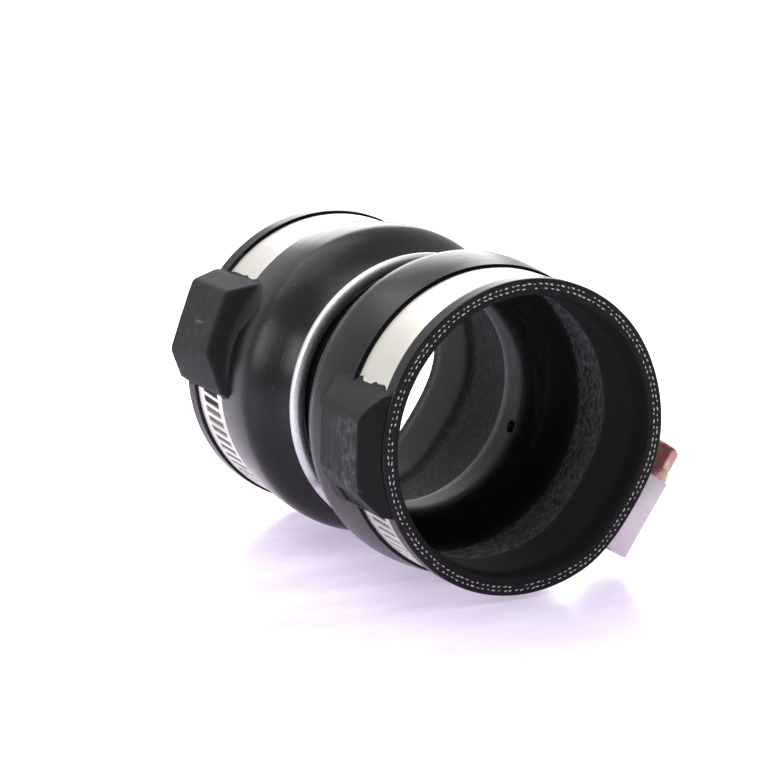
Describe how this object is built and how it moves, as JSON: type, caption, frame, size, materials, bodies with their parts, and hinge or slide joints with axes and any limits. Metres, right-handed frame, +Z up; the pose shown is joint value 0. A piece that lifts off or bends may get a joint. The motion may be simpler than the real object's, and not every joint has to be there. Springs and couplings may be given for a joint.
{
  "type": "charge-air hose coupling",
  "caption": "Reinforced rubber hose coupling with humps and a waist ring, and worm-drive clamps held in bonded retainers.",
  "frame": {"origin": "bottom centre of the bounding box of the coupling as it lies on its side", "axes": "+Y along the sleeve's axis from the front end to the rear end, +Z up, +X to the clamp screws' side"},
  "size_m": [0.11, 0.12, 0.0913],
  "materials": {
    "cover_rubber": "satin black moulded rubber",
    "liner_rubber": "matt black rubber with a faint cloth imprint",
    "retainer_rubber": "matt black moulded rubber",
    "ply_fabric": "off-white woven yarn",
    "stainless_band": "bright rolled stainless strip",
    "zinc_plate": "dull zinc-plated steel",
    "chromate_screw": "yellow chromate over zinc plating",
    "galvanised_wire": "bright galvanised steel wire"
  },
  "bodies": {
    "sleeve": {"inner_liner": "liner_rubber", "inner_ply": "ply_fabric", "tie_layer": "cover_rubber", "outer_ply": "ply_fabric", "outer_cover": "cover_rubber", "waist_ring": "galvanised_wire", "front_band": "stainless_band", "front_saddle": "zinc_plate", "front_housing": "zinc_plate", "front_retainer": "retainer_rubber", "rear_band": "stainless_band", "rear_saddle": "zinc_plate", "rear_housing": "zinc_plate", "rear_retainer": "retainer_rubber"},
    "front_screw": {"front_screw": "chromate_screw"},
    "front_tail": {"front_band_tail": "stainless_band"},
    "rear_screw": {"rear_screw": "chromate_screw"},
    "rear_tail": {"rear_band_tail": "stainless_band"}
  },
  "joints": [
    {"name": "front_screw_turn", "type": "hinge", "parent": "sleeve", "child": "front_screw", "pos_m": [0.03789, -0.0465, 0.01663], "axis": [-0.5736, 0, -0.8192], "range_deg": [-450, 675]},
    {"name": "front_band_feed", "type": "hinge", "parent": "sleeve", "child": "front_tail", "pos_m": [-0.00356, -0.0465, 0.04566], "axis": [0, -1, 0], "range_deg": [-5.04, 7.56]},
    {"name": "rear_screw_turn", "type": "hinge", "parent": "sleeve", "child": "rear_screw", "pos_m": [0.03789, 0.0465, 0.01663], "axis": [-0.5736, 0, -0.8192], "range_deg": [-450, 675]},
    {"name": "rear_band_feed", "type": "hinge", "parent": "sleeve", "child": "rear_tail", "pos_m": [-0.00356, 0.0465, 0.04566], "axis": [0, -1, 0], "range_deg": [-5.04, 7.56]}
  ],
  "couplings": [
    {"joint": "front_band_feed", "follows": "front_screw_turn", "ratio": 0.011193},
    {"joint": "rear_band_feed", "follows": "rear_screw_turn", "ratio": 0.011193}
  ]
}
